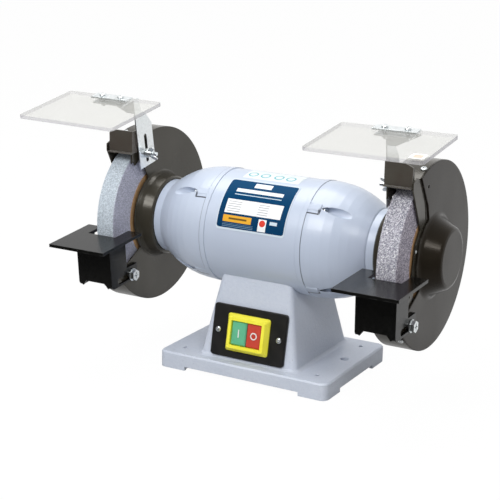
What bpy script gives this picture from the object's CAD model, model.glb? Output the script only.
"""Bench grinder: finishes, small pieces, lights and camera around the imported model.

Metres, +Z up, the operator on the -Y side, the origin on the bench under the middle of the machine.
"""

import math

import bmesh
import bpy
from mathutils import Matrix, Vector


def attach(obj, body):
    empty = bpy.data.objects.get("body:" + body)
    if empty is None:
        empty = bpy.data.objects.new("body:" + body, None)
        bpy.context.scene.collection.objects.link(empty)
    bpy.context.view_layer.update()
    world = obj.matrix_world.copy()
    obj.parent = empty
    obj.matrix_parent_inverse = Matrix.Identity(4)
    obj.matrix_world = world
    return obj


DEGREES = 180 / math.pi
MM = 0.001

# ---------- places shared with the part's source: metres, and degrees where said ----------
SPINDLE_Z = 0.1765  # spindle over the bench
MOTOR_R = 0.0726  # outside of the motor's housing
WHEEL_X = 0.194  # middle of a wheel, from the middle of the machine
WHEEL_T = 0.025
WHEEL_BORE_REACH = 0.03  # everything nearer to the spindle is the wheel's bore
GUARD_OUT = 0.2125  # outer face of a guard
SHEET = 0.0018  # thickness of the guards' steel
SHIELD_TOP_Y, SHIELD_TOP_Z = -0.0485, 0.3398  # a point on the shields' top face
SHIELD_SLOPE = math.tan(math.radians(7.5))
SWITCH_ORIGIN = Vector((0, -0.0643, 0.057))
SWITCH_LEAN = math.atan(20 / 105.5)
BUTTON_TOP = 0.010  # face of the buttons over the back of the switch plate
JOINT_X = 0.0704  # joint between the housing and a bell
TIE_SEAT_X = 0.0845  # seat of the tie bolts' heads
LUG_HALF_ANGLE = 6.7  # degrees
LABEL_MIDDLE = 39.0  # degrees up the housing from its front
HOUSING_ARC = math.pi / 180 * MOTOR_R * 1000  # millimetres round the housing for each degree

# ---------- camera ----------
CAMERA_TARGET = Vector((-0.03794, 0, 0.14583))
CAMERA_DISTANCE = 1.68338
CAMERA_AZIMUTH = math.radians(29.07)
CAMERA_ELEVATION = math.radians(15.22)
CAMERA_ROLL = math.radians(1.16)
CAMERA_LENS = 94.345
CAMERA_SENSOR = 36.0

# ---------- light ----------
LAMP_TARGET = Vector((0, 0, 0.15))
ROOM_IN_FRONT, ROOM_BEHIND = 0.12, 1.0  # the room, as polished pieces reflect it
ROOM_LIGHT = 0.42  # the room's light on everything
FLOOR_GREY = 0.46
FLOOR_WHITE, FLOOR_MIRRORED = 1.03, 0.9  # its glow to the camera, and to polished pieces
FLOOR_WHITE_SHARE = 0.95  # the rest is the floor's own shaded grey, for the soft shadow
FLOOR_REACH = 14.0


# ---------- shader maths ----------
class Value:
    """A socket, or a number, that takes part in Python arithmetic through Math nodes."""

    def __init__(self, finish, socket):
        self.finish = finish
        self.socket = socket

    def math(self, operation, *others):
        sockets = dict(enumerate((self, *others)))
        node = self.finish.node("ShaderNodeMath", {"operation": operation}, sockets)
        return Value(self.finish, node.outputs[0])

    def flipped(self, operation, other):
        """The operation with the number on the left."""
        node = self.finish.node("ShaderNodeMath", {"operation": operation}, {0: other, 1: self})
        return Value(self.finish, node.outputs[0])

    def __add__(self, other):
        return self.math("ADD", other)

    def __radd__(self, other):
        return self.flipped("ADD", other)

    def __sub__(self, other):
        return self.math("SUBTRACT", other)

    def __rsub__(self, other):
        return self.flipped("SUBTRACT", other)

    def __mul__(self, other):
        return self.math("MULTIPLY", other)

    def __rmul__(self, other):
        return self.flipped("MULTIPLY", other)

    def __truediv__(self, other):
        return self.math("DIVIDE", other)

    def __gt__(self, other):
        return self.math("GREATER_THAN", other)

    def __lt__(self, other):
        return self.math("LESS_THAN", other)

    def between(self, low, high):
        """1 from low to high, and 0 outside."""
        return (self > low) * (self < high)

    def ramp(self, low, high):
        """0 at low, 1 at high, and straight between them."""
        node = self.finish.node(
            "ShaderNodeMapRange",
            {"clamp": True},
            {"Value": self, "From Min": low, "From Max": high, "To Min": 0.0, "To Max": 1.0},
        )
        return Value(self.finish, node.outputs["Result"])


class Finish:
    """A material, or the room round the machine, with one method that adds any node."""

    def __init__(self, name, holder=None):
        self.material = holder or bpy.data.materials.new(name)
        self.material.use_nodes = True
        self.tree = self.material.node_tree
        self.tree.nodes.clear()

    def node(self, kind, settings=None, sockets=None):
        """A node: its settings first, then what its sockets are given."""
        node = self.tree.nodes.new(kind)
        for key, setting in (settings or {}).items():
            setattr(node, key, setting)
        for key, given in (sockets or {}).items():
            if isinstance(given, Value):
                self.tree.links.new(given.socket, node.inputs[key])
            else:
                node.inputs[key].default_value = given
        return node

    def place(self):
        """Object coordinates."""
        return Value(self, self.node("ShaderNodeTexCoord").outputs["Object"])

    def axes(self, place):
        """The place's three numbers."""
        node = self.node("ShaderNodeSeparateXYZ", None, {0: place})
        return [Value(self, node.outputs[i]) for i in range(3)]

    def stretched(self, place, scale):
        """The place, scaled along each axis, so that a pattern on it grows long."""
        node = self.node("ShaderNodeVectorMath", {"operation": "MULTIPLY"}, {0: place, 1: scale})
        return Value(self, node.outputs["Vector"])

    def noise(self, place, scale, detail=2.0, roughness=0.5):
        sockets = {"Vector": place, "Scale": scale, "Detail": detail, "Roughness": roughness}
        return Value(self, self.node("ShaderNodeTexNoise", None, sockets).outputs["Fac"])

    def cells(self, place, scale):
        """Grain shaped cells, each of a random grey."""
        node = self.node("ShaderNodeTexVoronoi", None, {"Vector": place, "Scale": scale})
        grey = self.node("ShaderNodeRGBToBW", None, {0: Value(self, node.outputs["Color"])})
        return Value(self, grey.outputs[0])

    def mix(self, factor, first, second, blend="MIX"):
        """A colour from first, at 0, to second, at 1."""
        settings = {"data_type": "RGBA", "blend_type": blend}
        node = self.node("ShaderNodeMix", settings, {"Factor": factor, 6: first, 7: second})
        return Value(self, node.outputs[2])

    def bump(self, height, strength, distance, rounding=None):
        """A normal roughened by height, over edges that look rounded off by the given radius."""
        sockets = {"Height": height, "Strength": strength, "Distance": distance}
        if rounding:
            bevel = self.node("ShaderNodeBevel", {"samples": 6}, {"Radius": rounding})
            sockets["Normal"] = Value(self, bevel.outputs[0])
        return Value(self, self.node("ShaderNodeBump", None, sockets).outputs["Normal"])

    def edges(self, radius):
        """1 along sharp edges, where a bevelled normal leaves the flat one."""
        bevel = Value(self, self.node("ShaderNodeBevel", None, {"Radius": radius}).outputs[0])
        flat = Value(self, self.node("ShaderNodeNewGeometry").outputs["Normal"])
        node = self.node("ShaderNodeVectorMath", {"operation": "DOT_PRODUCT"}, {0: bevel, 1: flat})
        return 1 - Value(self, node.outputs["Value"]).ramp(0.80, 0.995)

    def rays(self):
        """1 for rays from the camera or through the shields, and 1 for mirrored rays."""
        path = self.node("ShaderNodeLightPath")
        through = Value(self, path.outputs["Is Transmission Ray"])
        seen = Value(self, path.outputs["Is Camera Ray"]).math("MAXIMUM", through)
        return seen, Value(self, path.outputs["Is Glossy Ray"])

    def surface(self, sockets):
        """The shader itself, joined to the output."""
        shader = self.node("ShaderNodeBsdfPrincipled", None, sockets)
        self.node("ShaderNodeOutputMaterial", None, {"Surface": Value(self, shader.outputs[0])})
        return self.material


def rgb(red, green, blue):
    """An opaque colour."""
    return (red, green, blue, 1.0)


# ---------- finishes ----------
def machine_paint():
    """Pale blue-grey gloss enamel with orange peel, and dark lines where housing and bells meet."""
    f = Finish("machine_paint")
    place = f.place()
    along, across, up = f.axes(place)
    off = along.math("ABSOLUTE")
    angle = (up - SPINDLE_Z).math("ARCTAN2", across.math("ABSOLUTE")) * DEGREES
    from_lug = (angle + 90).math("MODULO", 90.0) - 45
    on_lug = from_lug.math("ABSOLUTE") < LUG_HALF_ANGLE
    joint = (1 - (off - JOINT_X).math("ABSOLUTE").ramp(0.0002, 0.0007)) * (1 - on_lug)
    notch = 1 - (from_lug + LUG_HALF_ANGLE).math("ABSOLUTE").ramp(0.45, 0.85)
    notch = notch * off.between(JOINT_X - 0.0003, TIE_SEAT_X + 0.0012)
    pocket = (from_lug + 4.2).math("ABSOLUTE").ramp(3.6, 1.2)
    pocket = pocket * off.between(TIE_SEAT_X - 0.0004, TIE_SEAT_X + 0.0024)
    line = (joint * 0.55 + notch * 1.2 + pocket * 0.9) * (up > SPINDLE_Z - 0.06)
    peel = f.noise(place, 420, 3)
    drift = f.noise(place, 9, 2)
    tint = f.mix(drift.ramp(0.3, 0.7), rgb(0.500, 0.565, 0.690), rgb(0.540, 0.605, 0.725))
    colour = f.mix(f.noise(place, 1500, 2).ramp(0.62, 0.75) * 0.12, tint, rgb(0.40, 0.45, 0.56))
    return f.surface(
        {
            "Base Color": f.mix(line.math("MINIMUM", 1.0), colour, rgb(0.05, 0.055, 0.075)),
            "Roughness": 0.26 + 0.10 * f.noise(place, 60, 3),
            "Coat Weight": 0.30,
            "Coat Roughness": 0.20,
            "Normal": f.bump(peel, 0.10, 0.0004, 0.0009),
        }
    )


def cast_paint():
    """The enamel on the sand-cast base: a little paler, with coarse skin, pits and chalky specks."""
    f = Finish("cast_paint")
    place = f.place()
    skin = f.noise(place, 260, 5, 0.65)
    pits = f.noise(place, 620, 2).ramp(0.66, 0.74)
    drift = f.noise(place, 11, 3)
    tint = f.mix(drift.ramp(0.3, 0.7), rgb(0.560, 0.612, 0.715), rgb(0.610, 0.655, 0.750))
    shaded = f.mix(skin.ramp(0.40, 0.66) * 0.16, tint, rgb(0.78, 0.81, 0.86))
    return f.surface(
        {
            "Base Color": f.mix(pits * 0.35, shaded, rgb(0.30, 0.33, 0.39)),
            "Roughness": 0.40 + 0.16 * skin,
            "Coat Weight": 0.15,
            "Coat Roughness": 0.20,
            "Normal": f.bump(skin - pits * 0.5, 0.50, 0.0008, 0.0007),
        }
    )


def guard_enamel():
    """Black enamel on sheet steel, faintly brown, with worn sheet edges."""
    f = Finish("guard_enamel")
    place = f.place()
    worn = f.edges(0.0009) * f.noise(place, 160, 4).ramp(0.50, 0.64)
    drift = f.noise(place, 14, 3).ramp(0.3, 0.7)
    tint = f.mix(drift, rgb(0.032, 0.028, 0.020), rgb(0.044, 0.039, 0.029))
    dust = f.noise(place, 900, 2).ramp(0.64, 0.74)
    rubbed = f.mix(worn * 0.6, tint, rgb(0.30, 0.29, 0.27))
    peel = f.noise(place, 520, 3)
    waves = f.noise(place, 13, 1) * 40.0
    return f.surface(
        {
            "Base Color": f.mix(dust * 0.15, rubbed, rgb(0.12, 0.11, 0.10)),
            "Roughness": 0.17 + 0.10 * f.noise(place, 45, 4),
            "Metallic": worn * 0.6,
            "Specular Tint": rgb(1.0, 0.96, 0.88),
            "Normal": f.bump(peel + waves, 0.12, 0.0003, 0.0009),
        }
    )


def cover_enamel():
    """Deep black gloss on the guard covers, over sheet that is not quite flat."""
    f = Finish("cover_enamel")
    place = f.place()
    worn = f.edges(0.0009) * f.noise(place, 150, 4).ramp(0.50, 0.64)
    drift = f.noise(place, 18, 3).ramp(0.3, 0.7)
    tint = f.mix(drift, rgb(0.013, 0.010, 0.007), rgb(0.020, 0.016, 0.011))
    peel = f.noise(place, 480, 3)
    waves = f.noise(place, 11, 1) * 60.0
    return f.surface(
        {
            "Base Color": f.mix(worn * 0.6, tint, rgb(0.28, 0.27, 0.25)),
            "Roughness": 0.16 + 0.08 * f.noise(place, 60, 4),
            "IOR": 1.30,
            "Specular Tint": rgb(1.0, 0.92, 0.82),
            "Normal": f.bump(peel + waves, 0.10, 0.0003, 0.0024),
        }
    )


def arrester_enamel():
    """Satin olive black on the arrester plates."""
    f = Finish("arrester_enamel")
    place = f.place()
    worn = f.edges(0.0009) * f.noise(place, 150, 4).ramp(0.30, 0.50)
    drift = f.noise(place, 30, 3).ramp(0.3, 0.7)
    tint = f.mix(drift, rgb(0.076, 0.060, 0.049), rgb(0.094, 0.086, 0.070))
    return f.surface(
        {
            "Base Color": f.mix(worn * 0.8, tint, rgb(0.46, 0.45, 0.43)),
            "Roughness": 0.26 + 0.12 * f.noise(place, 70, 4),
            "Normal": f.bump(f.noise(place, 520, 3), 0.10, 0.0003, 0.0006),
        }
    )


def rest_enamel():
    """Black enamel on the folded tool rests, rubbed dull on top."""
    f = Finish("rest_enamel")
    place = f.place()
    worn = f.edges(0.0010) * f.noise(place, 140, 4).ramp(0.46, 0.62)
    rub = f.noise(f.stretched(place, (1.0, 0.15, 1.0)), 260, 4)
    tint = f.mix(rub.ramp(0.35, 0.7), rgb(0.0030, 0.0030, 0.0025), rgb(0.0060, 0.0060, 0.0055))
    return f.surface(
        {
            "Base Color": f.mix(worn * 0.45, tint, rgb(0.22, 0.22, 0.22)),
            "Roughness": 0.14 + 0.16 * rub,
            "IOR": 1.42,
            "Metallic": worn * 0.5,
            "Normal": f.bump(f.noise(place, 600, 3), 0.10, 0.0003, 0.0007),
        }
    )


def flange_enamel():
    """Dull black on the turned flanges."""
    f = Finish("flange_enamel")
    place = f.place()
    grain = f.noise(place, 700, 3)
    tint = f.mix(grain.ramp(0.35, 0.65), rgb(0.022, 0.022, 0.023), rgb(0.042, 0.042, 0.043))
    return f.surface(
        {
            "Base Color": tint,
            "Roughness": 0.42 + 0.2 * grain,
            "Normal": f.bump(grain, 0.15, 0.0003),
        }
    )


def zinc_plate():
    """Bright zinc with the faint spangle and drawing lines of plated steel."""
    f = Finish("zinc_plate")
    place = f.place()
    spangle = f.cells(place, 420)
    lines = f.noise(f.stretched(place, (1.0, 1.0, 0.06)), 1400, 2)
    tint = f.mix(spangle, rgb(0.80, 0.84, 0.85), rgb(0.92, 0.95, 0.96))
    grime = f.noise(place, 90, 4).ramp(0.58, 0.78)
    return f.surface(
        {
            "Base Color": f.mix(grime * 0.45, tint, rgb(0.46, 0.47, 0.46)),
            "Metallic": 1.0,
            "Roughness": 0.20 + 0.14 * lines + 0.10 * spangle,
            "Normal": f.bump(lines, 0.06, 0.0002, 0.0003),
        }
    )


def ground_steel():
    """Steel with turning marks round the spindle."""
    f = Finish("ground_steel")
    place = f.place()
    marks = f.noise(f.stretched(place, (1.0, 0.05, 0.05)), 2200, 2)
    return f.surface(
        {
            "Base Color": f.mix(marks, rgb(0.46, 0.46, 0.47), rgb(0.66, 0.66, 0.67)),
            "Metallic": 1.0,
            "Roughness": 0.22 + 0.16 * marks,
            "Normal": f.bump(marks, 0.10, 0.0002),
        }
    )


def lamination_steel():
    """Stacked sheets, seen as fine rings along the spindle."""
    f = Finish("lamination_steel")
    place = f.place()
    along, _, _ = f.axes(place)
    sheets = ((along / 0.0010).math("FRACT")).ramp(0.0, 0.35)
    return f.surface(
        {
            "Base Color": f.mix(sheets, rgb(0.05, 0.05, 0.05), rgb(0.26, 0.25, 0.24)),
            "Metallic": 0.8,
            "Roughness": 0.45 + 0.15 * f.noise(place, 300, 3),
            "Normal": f.bump(sheets, 0.4, 0.0002),
        }
    )


def copper_wire():
    """Lacquered wire, wound round the spindle."""
    f = Finish("copper_wire")
    place = f.place()
    along, across, up = f.axes(place)
    rise = up - SPINDLE_Z
    reach = (across * across + rise * rise).math("SQRT")
    wires = (((reach + along) / 0.0011).math("FRACT") - 0.5).math("ABSOLUTE") * 2.0
    return f.surface(
        {
            "Base Color": f.mix(wires, rgb(0.62, 0.26, 0.09), rgb(0.20, 0.07, 0.03)),
            "Metallic": 0.9,
            "Roughness": 0.28 + 0.2 * wires,
            "Normal": f.bump(1 - wires, 0.6, 0.0004),
        }
    )


def wheel_grit(name, scale, dark, mid, light, side_tint):
    """Bonded grit: pale grains, dark grains and pores, with another tint on the flat sides."""
    f = Finish(name)
    place = f.place()
    along, _, _ = f.axes(place)
    grain = f.cells(place, scale)
    fine = f.cells(place, scale * 2.3)
    mottle = f.noise(place, 38, 3)
    shade = grain * 0.65 + fine * 0.35
    body = f.mix(shade.ramp(0.22, 0.62), dark, mid)
    colour = f.mix(shade.ramp(0.55, 0.85), body, light)
    pores = f.noise(place, scale * 0.7, 3, 0.7).ramp(0.66, 0.74)
    speckled = f.mix(pores * 0.5 + mottle * 0.08, colour, dark)
    flat = (along.math("ABSOLUTE") - WHEEL_X).math("ABSOLUTE") > WHEEL_T / 2 - 0.0004
    return f.surface(
        {
            "Base Color": f.mix(flat, speckled, side_tint, "MULTIPLY"),
            "Roughness": 0.72 + 0.2 * fine,
            "Normal": f.bump(grain - pores + fine * 0.5, 0.45, 0.0005),
        }
    )


def blotter_card():
    """Brown card with short fibres."""
    f = Finish("blotter_card")
    place = f.place()
    fibres = f.noise(f.stretched(place, (1.0, 1.0, 0.2)), 900, 5, 0.7)
    return f.surface(
        {
            "Base Color": f.mix(fibres.ramp(0.3, 0.7), rgb(0.38, 0.21, 0.09), rgb(0.60, 0.37, 0.18)),
            "Roughness": 0.85,
            "Normal": f.bump(fibres, 0.2, 0.0003),
        }
    )


def shield_acrylic():
    """Clear sheet that turns milky at a low angle, with scratches and grey sawn edges."""
    f = Finish("shield_acrylic")
    place = f.place()
    facing = Value(f, f.node("ShaderNodeLayerWeight", None, {"Blend": 0.5}).outputs["Facing"])
    normal = Value(f, f.node("ShaderNodeNewGeometry").outputs["Normal"])
    _, _, up = f.axes(normal)
    edge = 1 - up.math("ABSOLUTE").ramp(0.60, 0.85)
    scratch = f.noise(f.stretched(place, (1.0, 0.08, 1.0)), 500, 3).ramp(0.60, 0.80)
    haze = f.noise(place, 22, 3)
    alpha = facing.ramp(0.15, 0.62) * 0.32 + 0.10 + scratch * 0.02
    sheet = f.mix(haze, rgb(0.56, 0.56, 0.53), rgb(0.62, 0.62, 0.59))
    return f.surface(
        {
            "Base Color": f.mix(edge, sheet, rgb(0.56, 0.55, 0.60)),
            "Roughness": 0.08 + 0.06 * haze + 0.1 * scratch,
            "Alpha": (alpha + edge * 0.26).math("MINIMUM", 1.0),
            "IOR": 1.30,
            "Normal": f.bump(scratch, 0.02, 0.0001),
        }
    )


def moulded(name, low, high, rough):
    """Moulded plastic: slight cloud in the colour, and spark-eroded grain."""
    f = Finish(name)
    place = f.place()
    grain = f.noise(place, 1300, 2)
    cloud = f.noise(place, 60, 2)
    return f.surface(
        {
            "Base Color": f.mix(cloud.ramp(0.3, 0.7), low, high),
            "Roughness": rough + 0.12 * grain,
            "Normal": f.bump(grain, 0.10, 0.0002, 0.0006),
        }
    )


def switch_height(f, place):
    """Height over the switch plate's back, along its own normal."""
    _, across, up = f.axes(place)
    out_y, out_z = -math.cos(SWITCH_LEAN), math.sin(SWITCH_LEAN)
    return (across - SWITCH_ORIGIN.y) * out_y + (up - SWITCH_ORIGIN.z) * out_z


def button_plastic(name, low, high):
    """Button plastic whose raised mark is filled white."""
    f = Finish(name)
    place = f.place()
    grain = f.noise(place, 1500, 2)
    mark = switch_height(f, place) > BUTTON_TOP + 0.0002
    body = f.mix(f.noise(place, 90, 2).ramp(0.3, 0.7), low, high)
    return f.surface(
        {
            "Base Color": f.mix(mark, body, rgb(0.85, 0.85, 0.82)),
            "Roughness": 0.26 + 0.14 * grain,
            "Normal": f.bump(grain, 0.08, 0.0002, 0.0006),
        }
    )


def label_print():
    """Blue foil label: pale border, ruled data panel and plain patches, with no wording."""
    f = Finish("label_print")
    place = f.place()
    along, across, up = f.axes(place)
    angle = (up - SPINDLE_Z).math("ARCTAN2", across * -1.0) * DEGREES
    x = along * 1000.0
    rise = (angle - LABEL_MIDDLE) * HOUSING_ARC

    def patch(left, right, bottom, top):
        """1 between millimetres along the housing and degrees up it."""
        return x.between(left, right) * angle.between(bottom, top)

    def rounded(half_x, half_rise, radius):
        """1 inside a rectangle with round corners, about the label's middle."""
        over_x = (x.math("ABSOLUTE") - (half_x - radius)).math("MAXIMUM", 0.0)
        over_rise = (rise.math("ABSOLUTE") - (half_rise - radius)).math("MAXIMUM", 0.0)
        return (over_x * over_x + over_rise * over_rise).math("SQRT") < radius

    def disc(middle_x, middle_angle, radius):
        off_x = x - middle_x
        off_rise = (angle - middle_angle) * HOUSING_ARC
        return (off_x * off_x + off_rise * off_rise).math("SQRT") < radius

    white = rgb(0.84, 0.88, 0.90)
    pale_blue = rgb(0.62, 0.70, 0.78)
    blue = f.mix(f.noise(place, 30, 2), rgb(0.002, 0.034, 0.096), rgb(0.003, 0.046, 0.125))
    blue = f.mix(angle.ramp(30, 62), blue, rgb(0.000, 0.052, 0.140))
    rows = ((angle - 27.6) / 2.45).math("FRACT").between(0.36, 0.60)
    rows = rows * (patch(-36, -18, 27.5, 40.6) + patch(6, 20, 27.5, 40.6))
    fine_rows = patch(-39, 4, 12.4, 16.6) * (((angle - 12.4) / 1.5).math("FRACT") > 0.6)
    colour = f.mix(rounded(46.4, 34.2, 3.4), pale_blue, blue)
    for mask, tint in (
        (patch(-33, 32, 50.2, 54.4), white),  # wide bar
        (patch(-33, 32, 46.6, 47.5), rgb(0.55, 0.68, 0.78)),  # thin bar
        (patch(-12, 12, 57.4, 63.6), white),  # top patch
        (patch(-39, 38.7, 26.7, 41.2), rgb(0.86, 0.87, 0.88)),  # panel
        (rows * 0.8, rgb(0.20, 0.20, 0.23)),
        (patch(-39, 0.5, 17.9, 24.5), rgb(0.78, 0.40, 0.04)),  # orange field
        (patch(-31, -6, 20.4, 22.2), rgb(0.16, 0.09, 0.02)),  # its dark bar
        (fine_rows * 0.5, rgb(0.30, 0.45, 0.58)),
        (patch(10.5, 21.5, 12.8, 24.6), rgb(0.84, 0.85, 0.86)),  # white field
        (disc(16.0, 20.6, 4.1), rgb(0.70, 0.06, 0.04)),  # its red disc
        (patch(26, 36, 20.4, 23.6), pale_blue),  # small patch
    ):
        colour = f.mix(mask, colour, tint)
    gloss = f.noise(place, 200, 2)
    return f.surface(
        {
            "Base Color": colour,
            "Roughness": 0.34 + 0.10 * gloss,
            "IOR": 1.12,
            "Normal": f.bump(gloss, 0.05, 0.0002),
        }
    )


def strip_print():
    """White sticker with four pale rings."""
    f = Finish("strip_print")
    place = f.place()
    along, across, up = f.axes(place)
    angle = (up - SPINDLE_Z).math("ARCTAN2", across * -1.0)
    rise = (angle - math.radians(80.5)) * MOTOR_R
    rings = 0.0
    for middle in (-0.0277, -0.0105, 0.0085, 0.0251):
        side = along - middle
        rings = rings + (side * side + rise * rise).math("SQRT").between(0.0046, 0.0066)
    cloud = f.noise(place, 120, 2)
    white = f.mix(cloud, rgb(0.70, 0.76, 0.77), rgb(0.76, 0.82, 0.83))
    return f.surface(
        {
            "Base Color": f.mix(rings * 0.9, white, rgb(0.10, 0.42, 0.48)),
            "Roughness": 0.35 + 0.1 * cloud,
            "Specular IOR Level": 0.15,
            "Normal": f.bump(cloud, 0.04, 0.0002),
        }
    )


def sticker_film():
    """White film with a plain pale orange square."""
    f = Finish("sticker_film")
    place = f.place()
    along, across, _ = f.axes(place)
    inner = along.between(0.2430, 0.2530) * across.between(-0.1608, -0.1512)
    fleck = f.noise(place, 300, 2)
    white = f.mix(fleck, rgb(0.82, 0.82, 0.81), rgb(0.88, 0.88, 0.87))
    return f.surface(
        {
            "Base Color": f.mix(inner * 0.7, white, rgb(0.88, 0.50, 0.34)),
            "Roughness": 0.36 + 0.10 * fleck,
            "Normal": f.bump(fleck, 0.05, 0.0002),
        }
    )


def black_rubber():
    """Matt rubber with a fine bloom."""
    f = Finish("black_rubber")
    place = f.place()
    bloom = f.noise(place, 240, 4)
    return f.surface(
        {
            "Base Color": f.mix(bloom, rgb(0.014, 0.014, 0.015), rgb(0.040, 0.040, 0.041)),
            "Roughness": 0.62 + 0.2 * bloom,
            "Normal": f.bump(bloom, 0.25, 0.0004),
        }
    )


def capacitor_can():
    """Drawn aluminium can."""
    f = Finish("capacitor_can")
    place = f.place()
    lines = f.noise(f.stretched(place, (0.05, 1.0, 1.0)), 900, 3)
    return f.surface(
        {
            "Base Color": f.mix(lines, rgb(0.66, 0.67, 0.68), rgb(0.80, 0.81, 0.82)),
            "Metallic": 1.0,
            "Roughness": 0.30 + 0.15 * lines,
            "Normal": f.bump(lines, 0.08, 0.0002),
        }
    )


def stage_floor():
    """Pale floor, white to the camera under a soft shadow, that polished pieces see dim in front."""
    f = Finish("stage_floor")
    seen, mirrored = f.rays()
    _, depth, _ = f.axes(f.place())
    behind = depth.ramp(-0.35, 0.25)
    strength = seen * FLOOR_WHITE + mirrored * behind * FLOOR_MIRRORED
    share = (seen * FLOOR_WHITE_SHARE + mirrored * FLOOR_MIRRORED).math("MINIMUM", 1.0)
    lit = f.node("ShaderNodeBsdfDiffuse", None, {"Color": rgb(FLOOR_GREY, FLOOR_GREY, FLOOR_GREY)})
    glow = f.node("ShaderNodeEmission", None, {"Color": rgb(1, 1, 1), "Strength": strength})
    shaders = {"Fac": share, 1: Value(f, lit.outputs[0]), 2: Value(f, glow.outputs[0])}
    both = f.node("ShaderNodeMixShader", None, shaders)
    f.node("ShaderNodeOutputMaterial", None, {"Surface": Value(f, both.outputs[0])})
    return f.material


# ---------- stage ----------
def new_object(name, data):
    """An object at the origin, in the scene."""
    made = bpy.data.objects.new(name, data)
    bpy.context.scene.collection.objects.link(made)
    return made


def build_camera():
    """Camera at the product view, with a slight roll."""
    away = Vector(
        (
            math.sin(CAMERA_AZIMUTH) * math.cos(CAMERA_ELEVATION),
            -math.cos(CAMERA_AZIMUTH) * math.cos(CAMERA_ELEVATION),
            math.sin(CAMERA_ELEVATION),
        )
    )
    level = Vector((math.cos(CAMERA_AZIMUTH), math.sin(CAMERA_AZIMUTH), 0))
    upright = away.cross(level)
    right = level * math.cos(CAMERA_ROLL) + upright * math.sin(CAMERA_ROLL)
    up = upright * math.cos(CAMERA_ROLL) - level * math.sin(CAMERA_ROLL)
    data = bpy.data.cameras.new("camera")
    data.sensor_width = CAMERA_SENSOR
    data.lens = CAMERA_LENS
    data.clip_start, data.clip_end = 0.05, 60
    camera = new_object("camera", data)
    turn = Matrix((right, up, away)).transposed().to_4x4()
    camera.matrix_world = Matrix.Translation(CAMERA_TARGET + away * CAMERA_DISTANCE) @ turn
    bpy.context.scene.camera = camera


def build_lamp(name, place, size, power):
    """A square softbox that faces the machine."""
    data = bpy.data.lights.new(name, "AREA")
    data.shape = "SQUARE"
    data.size = size
    data.energy = power
    lamp = new_object(name, data)
    lamp.location = place
    lamp.rotation_euler = (LAMP_TARGET - Vector(place)).to_track_quat("-Z", "Y").to_euler()


def build_lights():
    """Soft boxes in front, on the right and overhead."""
    build_lamp("front_lamp", (-0.45, -2.2, 2.10), 1.3, 42)
    build_lamp("right_lamp", (1.5, -1.45, 1.70), 0.6, 12)
    build_lamp("top_lamp", (-0.6, 0.30, 2.4), 1.6, 32)


def build_room():
    """Even room, white to the camera, that polished pieces see dim in front and white behind."""
    world = bpy.data.worlds.new("room")
    f = Finish("room", world)
    seen, mirrored = f.rays()
    _, depth, _ = f.axes(Value(f, f.node("ShaderNodeTexCoord").outputs["Generated"]))
    reflected = ROOM_IN_FRONT + depth.ramp(-0.6, 1.0) * (ROOM_BEHIND - ROOM_IN_FRONT)
    lighting = 1 - seen.math("MAXIMUM", mirrored)
    strength = seen + mirrored * reflected + lighting * ROOM_LIGHT
    sky = f.node("ShaderNodeBackground", None, {"Color": rgb(1, 1, 1), "Strength": strength})
    f.node("ShaderNodeOutputWorld", None, {"Surface": Value(f, sky.outputs[0])})
    bpy.context.scene.world = world


def build_floor():
    """Flat floor, far past what the camera sees."""
    mesh = bpy.data.meshes.new("floor")
    corners = [(x * FLOOR_REACH, y * FLOOR_REACH, 0) for x, y in ((-1, -1), (1, -1), (1, 1), (-1, 1))]
    mesh.from_pydata(corners, [], [(0, 1, 2, 3)])
    mesh.materials.append(stage_floor())
    new_object("floor", mesh)


# ---------- pieces ----------
def add_piece(name, mesh, material, body):
    """A new piece of the machine, on its body and with its slot."""
    mesh.materials.clear()
    mesh.materials.append(material)
    piece = new_object(name, mesh)
    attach(piece, body)


def finished_mesh(bm, name):
    """The plain mesh of what was drawn."""
    mesh = bpy.data.meshes.new(name)
    bm.to_mesh(mesh)
    bm.free()
    return mesh


def lofted(name, outlines):
    """A closed solid through outlines that have as many points each."""
    bm = bmesh.new()
    rings = [[bm.verts.new(point) for point in outline] for outline in outlines]
    for first, second in zip(rings, rings[1:]):
        for k in range(len(first)):
            after = (k + 1) % len(first)
            bm.faces.new((first[k], first[after], second[after], second[k]))
    bm.faces.new(rings[0])
    bm.faces.new(rings[-1][::-1])
    bmesh.ops.recalc_face_normals(bm, faces=bm.faces)
    return finished_mesh(bm, name)


def build_strip(material):
    """Thin sticker bent over the top of the motor, behind the label."""
    left, right = -0.0375, 0.0405
    start, stop, steps = math.radians(71.5), math.radians(95.0), 14
    inner, outer = MOTOR_R + 0.00003, MOTOR_R + 0.00028
    outlines = []
    for i in range(steps + 1):
        angle = start + (stop - start) * i / steps
        outlines.append(
            [
                (x, -reach * math.cos(angle), SPINDLE_Z + reach * math.sin(angle))
                for x, reach in ((left, inner), (right, inner), (right, outer), (left, outer))
            ]
        )
    add_piece("top_strip", lofted("top_strip", outlines), material, "machine")


def build_shield_sticker(material):
    """Small square film with round corners on the right shield's outer front corner."""
    middle, half, corner, bends = (0.2480, -0.1560), (0.0088, 0.0086), 0.0015, 4
    outline = []
    for turn, (across, along) in enumerate(((1, 1), (-1, 1), (-1, -1), (1, -1))):
        for k in range(bends + 1):
            bend = math.radians(90 * (turn + k / bends))
            x = middle[0] + across * (half[0] - corner) + corner * math.cos(bend)
            y = middle[1] + along * (half[1] - corner) + corner * math.sin(bend)
            outline.append((x, y))
    outlines = []
    for rise in (0.00002, 0.00022):
        over = SHIELD_TOP_Z + rise
        outlines.append(
            [(x, y - rise * SHIELD_SLOPE, over + (y - SHIELD_TOP_Y) * SHIELD_SLOPE) for x, y in outline]
        )
    add_piece("shield_sticker", lofted("shield_sticker", outlines), material, "right_shield")


def beside_wheel(side, x, along_y, along_z):
    """A place given beside the wheel: x from the machine's middle, y and z from the spindle."""
    return (-x if side == "left" else x, along_y, SPINDLE_Z + along_z)


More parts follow.
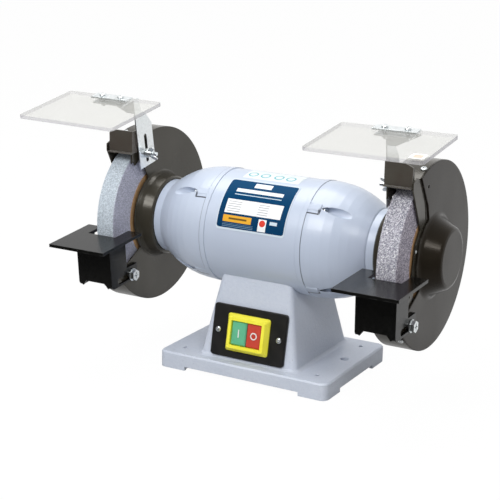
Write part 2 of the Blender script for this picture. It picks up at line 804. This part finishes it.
def build_return(side, material):
    """Sheet that closes the gap between a cover's front edge and the lip in front of it."""
    behind_lip = [(-52.5, 99.5), (-33.5, 70.5), (-27.5, 46.0)]
    under_cover = [(-19.0, 43.2), (-26.0, 67.2), (-50.0, 102.6)]
    outlines = [
        [beside_wheel(side, x, y * MM, z * MM) for y, z in behind_lip + under_cover]
        for x in (GUARD_OUT - 2 * SHEET - 0.0001, GUARD_OUT - SHEET + 0.0002)
    ]
    name = side + "_lip_return"
    add_piece(name, lofted(name, outlines), material, "machine")


class Grower:
    """A geometry tree that puts a small shape on points, and the plain mesh that it gives."""

    def __init__(self, name, inputs):
        self.tree = bpy.data.node_groups.new(name, "GeometryNodeTree")
        self.link = self.tree.links.new
        face = self.tree.interface
        face.new_socket("Geometry", in_out="OUTPUT", socket_type="NodeSocketGeometry")
        face.new_socket("Geometry", in_out="INPUT", socket_type="NodeSocketGeometry")
        self.inputs = {}
        for socket, kind in inputs.items():
            made = face.new_socket(socket, in_out="INPUT", socket_type="NodeSocket" + kind)
            self.inputs[socket] = made.identifier
        self.given = self.add("NodeGroupInput").outputs

    def add(self, kind, **sizes):
        """A node, with what its sockets are given."""
        node = self.tree.nodes.new(kind)
        for socket, size in sizes.items():
            node.inputs[socket].default_value = size
        return node

    def finish(self, copies, material):
        """Ends the tree in real meshes with their material."""
        solid = self.add("GeometryNodeRealizeInstances")
        self.link(copies.outputs["Instances"], solid.inputs["Geometry"])
        dressed = self.add("GeometryNodeSetMaterial", Material=material)
        self.link(solid.outputs["Geometry"], dressed.inputs["Geometry"])
        result = self.add("NodeGroupOutput")
        self.link(dressed.outputs["Geometry"], result.inputs["Geometry"])

    def grow(self, bed, name, sizes):
        """The plain mesh that stands on a bed's points or faces; the bed goes."""
        holder = new_object(bed.name, bed)
        modifier = holder.modifiers.new("grow", "NODES")
        modifier.node_group = self.tree
        for socket, size in sizes.items():
            modifier[self.inputs[socket]] = size
        bpy.context.view_layer.update()
        ready = holder.evaluated_get(bpy.context.evaluated_depsgraph_get())
        mesh = bpy.data.meshes.new_from_object(ready)
        mesh.name = name
        holder.modifiers.remove(modifier)
        bpy.data.objects.remove(holder)
        return mesh


def build_rivets(side, material):
    """Two low round rivet heads on the lip of a guard, standing out along X."""
    rivets = Grower("lip_rivets", {"Head Radius": "Float", "Head Rise": "Float"})
    head = rivets.add("GeometryNodeMeshUVSphere", Segments=20, Rings=12, Radius=1.0)
    form = rivets.add("ShaderNodeCombineXYZ")
    rivets.link(rivets.given["Head Rise"], form.inputs["X"])
    rivets.link(rivets.given["Head Radius"], form.inputs["Y"])
    rivets.link(rivets.given["Head Radius"], form.inputs["Z"])
    copies = rivets.add("GeometryNodeInstanceOnPoints")
    rivets.link(rivets.given["Geometry"], copies.inputs["Points"])
    rivets.link(head.outputs["Mesh"], copies.inputs["Instance"])
    rivets.link(form.outputs["Vector"], copies.inputs["Scale"])
    rivets.finish(copies, material)
    bm = bmesh.new()
    for y, z in ((-0.0535, 0.0164), (-0.0600, -0.0143)):
        bm.verts.new(beside_wheel(side, GUARD_OUT - SHEET - 0.0001, y, z))
    bed = finished_mesh(bm, side + "_rivet_points")
    name = side + "_lip_rivets"
    mesh = rivets.grow(bed, name, {"Head Radius": 0.0021, "Head Rise": 0.0009})
    for face in mesh.polygons:
        face.use_smooth = True
    add_piece(name, mesh, material, "machine")


def grain_bed(side):
    """The wheel's own surface, without its bore."""
    bm = bmesh.new()
    bm.from_mesh(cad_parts[side + "_wheel"].data)
    bmesh.ops.remove_doubles(bm, verts=bm.verts, dist=1e-6)
    bore = []
    for face in bm.faces:
        middle = face.calc_center_median()
        if math.hypot(middle.y, middle.z - SPINDLE_Z) < WHEEL_BORE_REACH and abs(face.normal.x) < 0.5:
            bore.append(face)
    bmesh.ops.delete(bm, geom=bore, context="FACES")
    return finished_mesh(bm, side + "_grain_bed")


def build_grains(side, material, density, radius, seed):
    """Proud grains scattered over one wheel, as a plain mesh that turns with it."""
    grains = Grower("wheel_grains", {"Density": "Float", "Grain Radius": "Float", "Seed": "Int"})
    points = grains.add("GeometryNodeDistributePointsOnFaces")
    grains.link(grains.given["Geometry"], points.inputs["Mesh"])
    grains.link(grains.given["Density"], points.inputs["Density"])
    grains.link(grains.given["Seed"], points.inputs["Seed"])
    grain = grains.add("GeometryNodeMeshIcoSphere", Subdivisions=1)
    grains.link(grains.given["Grain Radius"], grain.inputs["Radius"])
    size = grains.add("FunctionNodeRandomValue")
    size.data_type = "FLOAT_VECTOR"
    size.inputs["Min"].default_value = (0.5, 0.5, 0.5)
    size.inputs["Max"].default_value = (1.3, 1.3, 1.3)
    grains.link(grains.given["Seed"], size.inputs["Seed"])
    copies = grains.add("GeometryNodeInstanceOnPoints")
    grains.link(points.outputs["Points"], copies.inputs["Points"])
    grains.link(points.outputs["Rotation"], copies.inputs["Rotation"])
    grains.link(grain.outputs["Mesh"], copies.inputs["Instance"])
    grains.link(size.outputs["Value"], copies.inputs["Scale"])
    grains.finish(copies, material)
    name = side + "_wheel_grains"
    sizes = {"Density": density, "Grain Radius": radius, "Seed": seed}
    add_piece(name, grains.grow(grain_bed(side), name, sizes), material, "rotor")


def dress_nodes(finishes):
    """Gives every CAD node its finish."""
    for finish, nodes in finishes:
        for name in nodes:
            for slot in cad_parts[name].material_slots:
                slot.material = finish


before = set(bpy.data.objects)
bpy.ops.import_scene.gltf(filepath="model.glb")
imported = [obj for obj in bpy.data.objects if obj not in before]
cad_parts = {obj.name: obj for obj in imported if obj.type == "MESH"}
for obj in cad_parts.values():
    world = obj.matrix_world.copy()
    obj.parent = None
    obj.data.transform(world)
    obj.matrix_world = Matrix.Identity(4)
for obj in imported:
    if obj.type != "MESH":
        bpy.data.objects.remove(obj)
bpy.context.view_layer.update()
build_camera()
bpy.context.scene.view_settings.view_transform = "Standard"
build_lights()
build_room()
build_floor()

paint = machine_paint()
cast = cast_paint()
enamel = guard_enamel()
covers = cover_enamel()
plates = arrester_enamel()
rests = rest_enamel()
flanges = flange_enamel()
zinc = zinc_plate()
steel = ground_steel()
laminations = lamination_steel()
copper = copper_wire()
left_grit = wheel_grit(
    "left_wheel_grit",
    scale=1000,
    dark=rgb(0.36, 0.41, 0.46),
    mid=rgb(0.60, 0.68, 0.76),
    light=rgb(0.80, 0.86, 0.92),
    side_tint=rgb(1.0, 0.90, 0.98),
)
right_grit = wheel_grit(
    "right_wheel_grit",
    scale=950,
    dark=rgb(0.13, 0.13, 0.17),
    mid=rgb(0.52, 0.51, 0.59),
    light=rgb(1.0, 1.0, 1.0),
    side_tint=rgb(1.0, 0.94, 0.98),
)
card = blotter_card()
acrylic = shield_acrylic()
black_plastic = moulded("switch_black", rgb(0.008, 0.008, 0.008), rgb(0.016, 0.015, 0.014), 0.30)
yellow_plastic = moulded("switch_yellow", rgb(0.94, 0.86, 0.045), rgb(0.99, 0.92, 0.07), 0.28)
green_plastic = button_plastic("start_green", rgb(0.11, 0.45, 0.25), rgb(0.14, 0.52, 0.30))
red_plastic = button_plastic("stop_red", rgb(0.55, 0.05, 0.03), rgb(0.64, 0.07, 0.04))
label = label_print()
rubber = black_rubber()
can = capacitor_can()

sides = ("left", "right")
zinc_plated = ["bottom_cover", "cover_screws", "capacitor_clip", "bell_bolts", "switch_screws"]
for side in sides:
    for ending in ("nut", "guard_screws", "arrester_nut", "rest_bolt"):
        zinc_plated.append(side + "_" + ending)
    for ending in ("shield_bracket", "clamp_strip", "clamp_screws", "shield_bolt"):
        zinc_plated.append(side + "_" + ending)
dress_nodes(
    [
        (cast, ["base"]),
        (paint, ["stator_housing", "left_bell", "right_bell"]),
        (enamel, [side + "_guard" for side in sides]),
        (covers, [side + "_guard_cover" for side in sides]),
        (plates, [side + "_arrester" for side in sides]),
        (rests, [side + "_tool_rest" for side in sides]),
        (flanges, [side + end for side in sides for end in ("_inner_flange", "_outer_flange")]),
        (zinc, zinc_plated),
        (steel, ["shaft", "spacers", "outer_races", "inner_races", "bearing_balls"]),
        (laminations, ["stator_core", "rotor_core"]),
        (copper, ["windings"]),
        (left_grit, ["left_wheel"]),
        (right_grit, ["right_wheel"]),
        (card, [side + "_blotters" for side in sides]),
        (acrylic, [side + "_shield" for side in sides]),
        (black_plastic, ["switch_plate", "switch_body"]),
        (yellow_plastic, ["switch_frame"]),
        (green_plastic, ["start_button"]),
        (red_plastic, ["stop_button"]),
        (label, ["nameplate"]),
        (rubber, ["cable_gland"]),
        (can, ["capacitor"]),
    ]
)

build_strip(strip_print())
build_shield_sticker(sticker_film())
for side in sides:
    build_return(side, covers)
    build_rivets(side, zinc)
build_grains("left", left_grit, density=60000, radius=0.00035, seed=3)
build_grains("right", right_grit, density=60000, radius=0.00040, seed=7)
